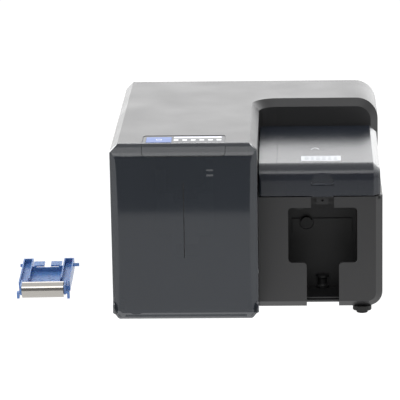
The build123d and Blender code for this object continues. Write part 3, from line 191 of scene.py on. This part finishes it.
# ---------------------------------------------------------------- finishes
# Charcoal ABS, spark-eroded tool: a soft, wide sheen that goes pale at a low angle.
charcoal_abs = moulded("charcoal_abs_spark_grain", "#2b2b2c", "#333334", 0.40, grain=1.1,
                       depth=0.05)
# The same ABS on the fascia, a little greyer where it faces the light table.
fascia_abs = moulded("fascia_abs_spark_grain", "#2a2a2b", "#303031", 0.46, grain=1.1,
                     depth=0.05)
# Smoked polycarbonate, polished tool: glassy outside, with the parts behind it showing faintly.
smoked_cover = moulded("smoked_polycarbonate_cover", "#2a2f36", "#2f353d", 0.08, grain=3.0,
                       depth=0.003, blotch=90.0, ior=1.58, extra={"Alpha": 0.74}, spread=0.015)
# The same plastic over the cards, darker and a little hazed by handling.
smoked_lid = moulded("smoked_polycarbonate_lid", "#1f242c", "#262b35", 0.21, grain=3.0,
                     depth=0.003, blotch=90.0, ior=1.55, extra={"Alpha": 0.80}, spread=0.03)
# The bulkhead's ABS is left a step greyer, so its openings read dark through the cover.
bulkhead_abs = moulded("grey_abs_bulkhead", "#44474c", "#4b4e54", 0.55, grain=0.9, depth=0.04)
# Black ABS of the works behind the covers, matt so that it stays quiet.
works_abs = moulded("black_abs_works", "#151516", "#1b1b1c", 0.55, grain=0.9, depth=0.05)
# Pale grey ABS of the control strip under a clear lacquer: even and softly bright.
strip_abs = moulded("pale_abs_control_strip", "#3f4145", "#47494d", 0.42, grain=0.8,
                    depth=0.015)
# Blue ABS of the key, the only strong colour on the case.
key_abs = moulded("blue_abs_power_key", "#2353a3", "#2d5dad", 0.40, grain=0.8, depth=0.015)
# Milky acrylic, polished: the lenses read as plain white dots.
lens_acrylic = moulded("milky_acrylic_lens", "#e8e8e6", "#f4f4f2", 0.22, grain=1.5,
                       depth=0.004)
# Tinted acrylic, polished: a pale violet pane with a sharp shine.
display_acrylic = moulded("violet_tinted_display_acrylic", "#c3c3e6", "#d6d6ee", 0.15,
                          grain=2.0, depth=0.002)
# Moulded rubber, dull and nearly black; the rollers' is ground, so it is greyer.
foot_rubber = moulded("black_foot_rubber", "#161616", "#1c1c1c", 0.75, grain=1.4, depth=0.10)
roller_rubber = moulded("ground_roller_rubber", "#242424", "#303030", 0.7, grain=0.7,
                        depth=0.08)
belt_rubber = moulded("black_belt_rubber", "#141414", "#1e1e1e", 0.65, grain=1.0, depth=0.06)
# Blue polycarbonate of the cassette: smooth, with light that sinks a little into its edges.
blue_pc = moulded("blue_polycarbonate_cassette", "#5379b4", "#6388c2", 0.26, grain=1.0,
                  depth=0.01, extra={"Subsurface Weight": 0.15, "Subsurface Scale": 0.003})
# Natural acetal of the gears, off-white and waxy.
gear_acetal = moulded("natural_acetal_gear", "#d9d6cc", "#e6e3da", 0.4, grain=0.8, depth=0.02)
# Solder mask over the board: dark green and glossy.
board_mask = moulded("green_solder_mask", "#124326", "#1a5631", 0.35, grain=2.5, depth=0.02)
# Nylon of the sockets, black with a faint sheen.
socket_nylon = moulded("black_nylon_socket", "#131314", "#1a1a1b", 0.5, grain=0.9, depth=0.04)
# Mid-grey ABS of the ink cartridge, so it stands out from the black works.
ink_abs = moulded("grey_abs_cartridge", "#55565a", "#616266", 0.45, grain=0.9, depth=0.04)
# Lacquered motor cans: black with a firm sheen.
motor_lacquer = moulded("black_motor_lacquer", "#17181a", "#1f2022", 0.35, grain=1.5,
                        depth=0.03)
# Rolled and zinc-plated sheet: pale grey, with lines up the sheet.
zinc_sheet = metal("zinc_plated_sheet", "#a7abae", "#8f9397", 0.38, (1.0, 1.0, 0.05))
# Turned steel of the shafts and pins: bright, with lines along them.
turned_steel = metal("turned_steel", "#b9bbbd", "#a2a4a6", 0.25, (1.0, 0.05, 1.0))
# Blackened steel of the screws: dark, with a small glint.
black_screw = metal("blackened_screw_steel", "#3a3b3d", "#2b2c2e", 0.4, (1.0, 1.0, 1.0))
# Stainless sleeve with its sticky film: polished round its length, so the studio shows as bands.
roller_sleeve = metal("polished_cleaning_sleeve", "#b3b0ab", "#a3a09b", 0.13,
                      (0.04, 1.0, 1.0), depth=0.004)
# Pad-printed ink, flat and even: white for the marks, grey for the finest lines.
print_white = moulded("pad_printed_white", "#dfe2e8", "#e8ebf0", 0.5, grain=0.5, depth=0.004)
print_grey = moulded("pad_printed_grey", "#8b909a", "#979ca6", 0.5, grain=0.5, depth=0.004)
# Painted shade: the rib under the lid, seen through it as a darker line.
rib_shade = moulded("rib_shadow_in_smoked_lid", "#16191e", "#1b1e24", 0.25, grain=0.8,
                    depth=0.004)
# Painted highlight on the grip's edge: a paler colour stands in for the light it catches.
ledge_highlight = moulded("painted_ledge_highlight", "#5d6169", "#686c75", 0.3, grain=0.8, depth=0.004)
# Satin polyester film of the lid's label, pale grey.
label_film = moulded("satin_label_film", "#c4c7cd", "#ced1d6", 0.35, grain=0.6, depth=0.006)
# Painted shade: a narrow groove in moulded ABS, drawn near black for the shadow inside it.
seam_shadow = moulded("painted_groove_shadow", "#0d0d0e", "#121213", 0.6, grain=0.8, depth=0.02)
# Painted shade: the cassette's own plastic, made darker where the arrow stands in the tray.
shaded_arrow_blue = moulded("blue_arrow_painted_shade", "#3c62a4", "#456bab", 0.3, grain=0.8, depth=0.01)

FINISHES = {
    charcoal_abs: ["top_case", "base_tray", "rear_panel"],
    fascia_abs: ["front_panel"],
    smoked_cover: ["front_cover"],
    smoked_lid: ["hopper_lid"],
    bulkhead_abs: ["front_bulkhead"],
    works_abs: ["carriage_idler", "carriage_pulley", "idler_bracket", "carriage_belt",
                "hopper_tray", "output_bin", "cover_catches", "lid_catch_block", "carriage",
                "service_tower", "cartridge_latch"],
    strip_abs: ["control_bezel"],
    key_abs: ["power_key"],
    lens_acrylic: ["indicator_lenses"],
    display_acrylic: ["display_window"],
    foot_rubber: ["rubber_feet", "capping_pad", "wiper_blade"],
    roller_rubber: ["feed_roller_left", "feed_roller_right", "pick_roller", "output_wheel"],
    belt_rubber: ["feed_belt"],
    blue_pc: ["cassette_carrier"],
    roller_sleeve: ["cleaning_roller"],
    gear_acetal: ["pick_pinion", "feed_motor_pulley"],
    board_mask: ["main_board"],
    socket_nylon: ["power_socket", "data_socket", "network_socket"],
    ink_abs: ["ink_cartridge"],
    motor_lacquer: ["feed_motor", "pick_motor", "carriage_motor"],
    zinc_sheet: ["transport_frame_front", "transport_frame_rear", "rear_frame",
                 "drive_bracket", "print_platen", "board_standoffs"],
    turned_steel: ["cover_hinge_pins", "lid_hinge_pins", "feed_shaft_left",
                   "feed_shaft_right", "pick_shaft", "output_shaft", "guide_rods",
                   "latch_pin", "pinch_roller_left", "pinch_roller_right"],
    black_screw: ["case_screws"],
}
for finish, names in FINISHES.items():
    for name in names:
        slots = NODES[name].data.materials
        slots.clear()
        slots.append(finish)


# ---------------------------------------------------------------- laying marks on a surface
DOWN = Vector((0.0, 0.0, -1.0))
BACKWARD = Vector((0.0, 1.0, 0.0))
# A search line starts this many metres outside, and these many millimetres ahead of a face.
OUTSIDE = 0.5
COVER_FRONT = SEAM_Y - 60
LID_FRONT = FASCIA_Y - 40
# How deep a strip is sunk, and how often it follows the surface, in millimetres.
SUNK = 0.12
STEP = 1.5
# The node that a mark lies on, with the body and the record's slot listed for it.
ON_KEY = ("power_key", "power_key_body", "key_plastic")
ON_DISPLAY = ("display_window", "chassis", "panel_plastic")
ON_COVER = ("front_cover", "front_cover_body", "cover_plastic")
IN_COVER_EDGE = ("front_cover", "front_cover_body", "shaft_steel")
ON_LID = ("hopper_lid", "hopper_lid_body", "lid_plastic")
IN_TRAY = ("cassette_carrier", "cassette_body", "cassette_plastic")
SKINS = {}


def skin(node):
    """Search tree of a node's surface."""
    if node not in SKINS:
        mesh = NODES[node].data
        SKINS[node] = BVHTree.FromPolygons([v.co for v in mesh.vertices],
                                           [list(f.vertices) for f in mesh.polygons])
    return SKINS[node]


def land(node, spot, way):
    """Where a straight line from outside meets the node, and the surface's normal there."""
    hit, normal, _, _ = skin(node).ray_cast(spot - way * OUTSIDE, way)
    if hit is None:
        raise ValueError(f"no surface of {node} under {tuple(spot)}")
    return hit, normal if normal.dot(way) < 0 else -normal


def mount(name, mesh, finish, body, slot_name):
    """Object for a finished mesh, with its material and body; slot_name is not used."""
    mesh.materials.clear()
    mesh.materials.append(finish)
    mesh.validate()
    mesh.update()
    made = bpy.data.objects.new(name, mesh)
    bpy.context.scene.collection.objects.link(made)
    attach(made, body)
    return made


def bar_through(name, rings):
    """Mesh of a bar through four-cornered rings, with both ends closed."""
    faces = []
    last = 4 * (len(rings) - 1)
    for a in range(0, last, 4):
        b = a + 4
        faces += [(a + k, a + (k + 1) % 4, b + (k + 1) % 4, b + k) for k in range(4)]
    faces += [(3, 2, 1, 0), tuple(last + k for k in range(4))]
    mesh = bpy.data.meshes.new(name)
    mesh.from_pydata([corner for ring in rings for corner in ring], [], faces)
    return mesh


def strip(name, place, path, width, way, finish, proud=0.05):
    """Thin strip laid on a node along a path of printer millimetres."""
    node, body, slot_name = place
    points = [at(*p) for p in path]
    walk = []
    for a, b in zip(points, points[1:]):
        parts = max(1, int((b - a).length / (STEP * MM)))
        walk += [a.lerp(b, i / parts) for i in range(parts)]
    walk.append(points[-1])
    rings = []
    for i, spot in enumerate(walk):
        before = walk[max(i - 1, 0)]
        after = walk[min(i + 1, len(walk) - 1)]
        side = (after - before).cross(way).normalized() * (width * MM / 2)
        ring = []
        for edge, lifts in ((side, (-SUNK, proud)), (-side, (proud, -SUNK))):
            hit, normal = land(node, spot + edge, way)
            ring += [hit + normal * lift * MM for lift in lifts]
        rings.append(ring)
    return mount(name, bar_through(name, rings), finish, body, slot_name)


def arc(cx, cy, r, start, end, steps):
    """Points on an arc, angles in degrees from the first axis."""
    turns = [radians(start + (end - start) * i / steps) for i in range(steps + 1)]
    return [(cx + r * cos(t), cy + r * sin(t)) for t in turns]


def row_of(name, count, step, size, shortest, seed, finish):
    """Row of little raised bars of uneven length, made by Geometry Nodes, as a plain mesh.

    step and size are millimetres, and shortest is the least share of its length a bar keeps.
    """
    tree = bpy.data.node_groups.new(name + "_row", "GeometryNodeTree")
    face = tree.interface
    face.new_socket("Geometry", in_out="INPUT", socket_type="NodeSocketGeometry")
    inputs = []
    for label, kind, value in (("Count", "NodeSocketInt", count),
                               ("Step", "NodeSocketVector", [c * MM for c in step]),
                               ("Bar Size", "NodeSocketVector", [c * MM for c in size]),
                               ("Shortest", "NodeSocketFloat", shortest),
                               ("Seed", "NodeSocketInt", seed)):
        socket = face.new_socket(label, in_out="INPUT", socket_type=kind)
        inputs.append((socket.identifier, value))
    face.new_socket("Geometry", in_out="OUTPUT", socket_type="NodeSocketGeometry")
    given = add(tree, "NodeGroupInput")
    line = add(tree, "GeometryNodeMeshLine", None,
               {"Count": (given, "Count"), "Offset": (given, "Step")})
    bar = add(tree, "GeometryNodeMeshCube", None, {"Size": (given, "Bar Size")})
    # Input 2 is the least value, input 3 the greatest and output 1 the number drawn.
    spread = add(tree, "FunctionNodeRandomValue", {"data_type": "FLOAT", 3: 1.0},
                 {2: (given, "Shortest"), "Seed": (given, "Seed")})
    scale = add(tree, "ShaderNodeCombineXYZ", {"Y": 1.0, "Z": 1.0}, {"X": (spread, 1)})
    placed = add(tree, "GeometryNodeInstanceOnPoints", None,
                 {"Points": (line, "Mesh"), "Instance": (bar, "Mesh"),
                  "Scale": (scale, "Vector")})
    real = add(tree, "GeometryNodeRealizeInstances", None, {"Geometry": (placed, "Instances")})
    painted = add(tree, "GeometryNodeSetMaterial", {"Material": finish},
                  {"Geometry": (real, "Geometry")})
    add(tree, "NodeGroupOutput", None, {"Geometry": (painted, "Geometry")})
    carrier = bpy.data.objects.new(name + "_maker", bpy.data.meshes.new(name + "_maker"))
    bpy.context.scene.collection.objects.link(carrier)
    modifier = carrier.modifiers.new("row", "NODES")
    modifier.node_group = tree
    for identifier, value in inputs:
        modifier[identifier] = value
    depsgraph = bpy.context.evaluated_depsgraph_get()
    mesh = bpy.data.meshes.new_from_object(carrier.evaluated_get(depsgraph))
    mesh.name = name
    bpy.data.objects.remove(carrier)
    return mesh


def set_down(mesh, node, x, y, lift):
    """Turns a flat mesh to the node's top face at a place and sets it there."""
    hit, normal = land(node, at(x, y, TOP_Z), DOWN)
    turn = Vector((0.0, 0.0, 1.0)).rotation_difference(normal).to_matrix().to_4x4()
    mesh.transform(Matrix.Translation(hit + normal * lift * MM) @ turn)
    return mesh


# ---------------------------------------------------------------- marks on the control strip
# Power mark on the key: an open ring and a bar.
KEY_X = -114.5
KEY_Y = -155.0
MARK_R = 3.4
MARK_START = 122
MARK_END = 418
MARK_LINE = 0.9
MARK_BAR = (0.6, 4.6)
ring = [(x, y, TOP_Z) for x, y in arc(KEY_X, KEY_Y, MARK_R, MARK_START, MARK_END, 24)]
strip("power_mark_ring", ON_KEY, ring, MARK_LINE, DOWN, print_white)
strip("power_mark_bar", ON_KEY, [(KEY_X, KEY_Y + y, TOP_Z) for y in MARK_BAR], MARK_LINE, DOWN,
      print_white)

# Faint ruled lines on the display's window.
RULE_ENDS = (-92.0, -36.0)
RULE_WIDTH = 0.35
for i, y in enumerate((-140.6, -143.4)):
    strip(f"display_rule_{i + 1}", ON_DISPLAY, [(x, y, TOP_Z) for x in RULE_ENDS], RULE_WIDTH,
          DOWN, print_grey, proud=0.02)

# Outline of the control strip carried on over the cover's brow, as a painted shadow line.
LOOP_LEFT = -136.0
LOOP_RIGHT = -27.5
LOOP_LOW = 231.5
LOOP_HIGH = 244.0
LOOP_R = 5.0
LOOP_LINE = 0.8
bend_z = LOOP_LOW + LOOP_R
loop = ([(LOOP_LEFT, LOOP_HIGH)] + arc(LOOP_LEFT + LOOP_R, bend_z, LOOP_R, 180, 270, 6)
        + arc(LOOP_RIGHT - LOOP_R, bend_z, LOOP_R, -90, 0, 6) + [(LOOP_RIGHT, LOOP_HIGH)])
strip("brow_outline", ON_COVER, [(x, COVER_FRONT, z) for x, z in loop], LOOP_LINE, BACKWARD,
      seam_shadow, proud=0.04)

# ---------------------------------------------------------------- marks on the lid
# Label plate, with plain bars in place of any words.
LABEL_LEFT = 70.9
LABEL_RIGHT = 123.7
LABEL_FRONT = -113.0
LABEL_BACK = -90.0
ROW_LEFT = 7.4
ROW_FRONT = 5.5
ROW_STEP = 6.0
BAR_COUNT = 6
BAR_STEP = (7.6, 0.0, 0.0)
BAR_SIZE = (5.8, 1.1, 0.2)
BAR_SHORTEST = 0.45
BAR_LIFT = 0.1
FIRST_SEED = 11
label_y = (LABEL_FRONT + LABEL_BACK) / 2
strip("lid_label", ON_LID, [(LABEL_LEFT, label_y, TOP_Z), (LABEL_RIGHT, label_y, TOP_Z)],
      LABEL_BACK - LABEL_FRONT, DOWN, label_film, proud=0.08)
for i in range(3):
    name = f"label_bars_{i + 1}"
    bars = row_of(name, BAR_COUNT, BAR_STEP, BAR_SIZE, BAR_SHORTEST, FIRST_SEED + i, print_grey)
    set_down(bars, ON_LID[0], LABEL_LEFT + ROW_LEFT, LABEL_FRONT + ROW_FRONT + ROW_STEP * i,
             BAR_LIFT)
    mount(name, bars, print_grey, *ON_LID[1:])

# Chevron that points to the lid's back.
CHEVRON_X = 90.0
CHEVRON_Y = -52.0
CHEVRON_WING = 5.5
CHEVRON_LINE = 1.4
wing_y = CHEVRON_Y - 6.0
chevron = [(CHEVRON_X - CHEVRON_WING, wing_y, TOP_Z), (CHEVRON_X, CHEVRON_Y + 1.0, TOP_Z),
           (CHEVRON_X + CHEVRON_WING, wing_y, TOP_Z)]
strip("lid_chevron", ON_LID, chevron, CHEVRON_LINE, DOWN, print_white)

# Ledge of the lid's grip, with a painted highlight along its lower edge.
LEDGE_LEFT = 83.6
LEDGE_RIGHT = 113.8
LEDGE_LOW = 179.4
LEDGE_HIGH = 182.0
LEDGE_FLARE = 1.6
LEDGE_LINE = 0.7
ledge = [(LEDGE_LEFT, LEDGE_HIGH), (LEDGE_LEFT + LEDGE_FLARE, LEDGE_LOW),
         (LEDGE_RIGHT - LEDGE_FLARE, LEDGE_LOW), (LEDGE_RIGHT, LEDGE_HIGH)]
strip("grip_ledge", ON_LID, [(x, LID_FRONT, z) for x, z in ledge], LEDGE_LINE, BACKWARD,
      ledge_highlight, proud=0.06)

# Painted shade of the rib, showing through the lid's top and over its front crease.
RIB_X = 39.0
RIB_ENDS = (FASCIA_Y + 16.0, FASCIA_Y + 150.0)
RIB_HIGH = 201.0
RIB_LOW = 190.5
RIB_FOOT = 5.5
strip("rib_line_top", ON_LID, [(RIB_X, y, TOP_Z) for y in RIB_ENDS], 0.7, DOWN, rib_shade,
      proud=0.02)
rib = [(RIB_X, RIB_HIGH), (RIB_X, RIB_LOW), (RIB_X + RIB_FOOT, RIB_LOW)]
strip("rib_line_front", ON_LID, [(x, LID_FRONT, z) for x, z in rib], 1.2, BACKWARD, rib_shade,
      proud=0.02)

# ---------------------------------------------------------------- marks on the cover
# Straight groove down its middle, as a painted shadow line.
GROOVE_X = -82.2
GROOVE_ENDS = (197.0, 96.0)
GROOVE_LINE = 1.1
strip("cover_groove", ON_COVER, [(GROOVE_X, COVER_FRONT, z) for z in GROOVE_ENDS], GROOVE_LINE,
      BACKWARD, seam_shadow, proud=0.03)

# Bright stops in its side edges.
STOP_Y = SEAM_Y - 3.0
STOP_ENDS = (70.0, 74.5)
STOP_WIDTH = 2.6
STOP_REACH = 30
for side, x, way in (("left", CASE_LEFT, 1.0), ("right", COVER_RIGHT, -1.0)):
    strip(f"cover_stop_{side}", IN_COVER_EDGE,
          [(x - way * STOP_REACH, STOP_Y, z) for z in STOP_ENDS], STOP_WIDTH,
          Vector((way, 0.0, 0.0)), turned_steel, proud=0.25)

# ---------------------------------------------------------------- marks in the crease and tray
# Painted shadow dots in the lid's front crease.
DOT_Y = FASCIA_Y + 15.0
DOT_HALF = 0.9
DOT_WIDTH = 2.4
for i, x in enumerate((24.0, 124.0, 159.0)):
    strip(f"crease_dot_{i + 1}", ON_LID, [(x - DOT_HALF, DOT_Y, TOP_Z),
                                          (x + DOT_HALF, DOT_Y, TOP_Z)],
          DOT_WIDTH, DOWN, seam_shadow)

# Arrow moulded in the cassette's tray, in painted shade, drawn about a point of the tray.
ARROW_ASIDE = 1.4
ARROW_BACK = 44.0
ARROW_TOP = 60.0
ARROW_LINE = 1.2
ARROW = {"shaft": [(2.7, -7.0), (2.7, 1.3)], "left": [(-11.0, -7.5), (-5.0, -10.5)],
         "right": [(10.0, -7.0), (3.6, -10.5)]}
tray_low, tray_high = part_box("cassette_carrier")
tray_x = (tray_low[0] + tray_high[0]) / 2 / MM - SHIFT_X - ARROW_ASIDE
tray_y = tray_low[1] / MM - SHIFT_Y + ARROW_BACK
for part, path in ARROW.items():
    strip(f"cassette_arrow_{part}", IN_TRAY,
          [(tray_x + x, tray_y + y, ARROW_TOP) for x, y in path], ARROW_LINE, DOWN, shaded_arrow_blue,
          proud=0.25)


# ---------------------------------------------------------------- studio
WHITE = (1.0, 1.0, 1.0, 1.0)
BACKDROP = 1.05
TABLE_GLOW = 1.15
TABLE_FRONT = -835.0
TABLE_SIDE = 1500.0
TABLE_BACK = 1600.0
TABLE_Z = -0.2
# Each fade of the studio's light: the axis it runs along, where it starts and ends on that
# axis, and its strength before and after.
FADES = {
    "behind": ("Y", -0.15, 0.55, 0.10, 1.0),
    "low": ("Z", 0.35, 0.95, 3.1, 0.0),
    "above": ("Z", 0.55, 0.98, 0.0, 1.1),
    "front": ("Y", -0.62, -0.34, 1.0, 0.0),
    "high": ("Z", 0.62, 0.70, 0.0, 3.0),
}


def studio_light():
    """White to the eye; on the part it is bright low behind, soft above, and dark in front.

    Only a softbox high in front breaks the dark there.
    """
    world = bpy.data.worlds.new("studio")
    bpy.context.scene.world = world
    world.use_nodes = True
    tree = world.node_tree
    tree.nodes.clear()
    coords = add(tree, "ShaderNodeTexCoord")
    way = add(tree, "ShaderNodeSeparateXYZ", None, {"Vector": (coords, "Generated")})
    fade = {}
    for name, (axis, start, end, first, last) in FADES.items():
        fade[name] = add(tree, "ShaderNodeMapRange",
                         {"interpolation_type": "SMOOTHSTEP", "From Min": start,
                          "From Max": end, "To Min": first, "To Max": last},
                         {"Value": (way, axis)})
    back_light = add(tree, "ShaderNodeMath", {"operation": "MULTIPLY"},
                     {0: (fade["behind"], "Result"), 1: (fade["low"], "Result")})
    softbox = add(tree, "ShaderNodeMath", {"operation": "MULTIPLY"},
                  {0: (fade["front"], "Result"), 1: (fade["high"], "Result")})
    top_lights = add(tree, "ShaderNodeMath", {"operation": "ADD"},
                     {0: (softbox, "Value"), 1: (fade["above"], "Result")})
    total = add(tree, "ShaderNodeMath", {"operation": "ADD"},
                {0: (back_light, "Value"), 1: (top_lights, "Value")})
    part = add(tree, "ShaderNodeBackground", {"Color": WHITE}, {"Strength": (total, "Value")})
    eye = add(tree, "ShaderNodeBackground", {"Color": WHITE, "Strength": BACKDROP})
    path = add(tree, "ShaderNodeLightPath")
    seen = add(tree, "ShaderNodeMixShader", None,
               {0: (path, "Is Camera Ray"), 1: (part, "Background"), 2: (eye, "Background")})
    add(tree, "ShaderNodeOutputWorld", None, {"Surface": (seen, "Shader")})


def light_table():
    """Glowing white table under the part, ending in front where the dark studio begins."""
    mesh = bpy.data.meshes.new("light_table")
    corners = [at(-TABLE_SIDE, TABLE_FRONT, TABLE_Z), at(TABLE_SIDE, TABLE_FRONT, TABLE_Z),
               at(TABLE_SIDE, TABLE_BACK, TABLE_Z), at(-TABLE_SIDE, TABLE_BACK, TABLE_Z)]
    mesh.from_pydata(corners, [], [(0, 1, 2, 3)])
    material, tree = fresh("light_table_acrylic")
    glow = add(tree, "ShaderNodeEmission", {"Color": WHITE, "Strength": TABLE_GLOW})
    add(tree, "ShaderNodeOutputMaterial", None, {"Surface": (glow, "Emission")})
    mesh.materials.append(material)
    table = bpy.data.objects.new("light_table", mesh)
    bpy.context.scene.collection.objects.link(table)


studio_light()
light_table()
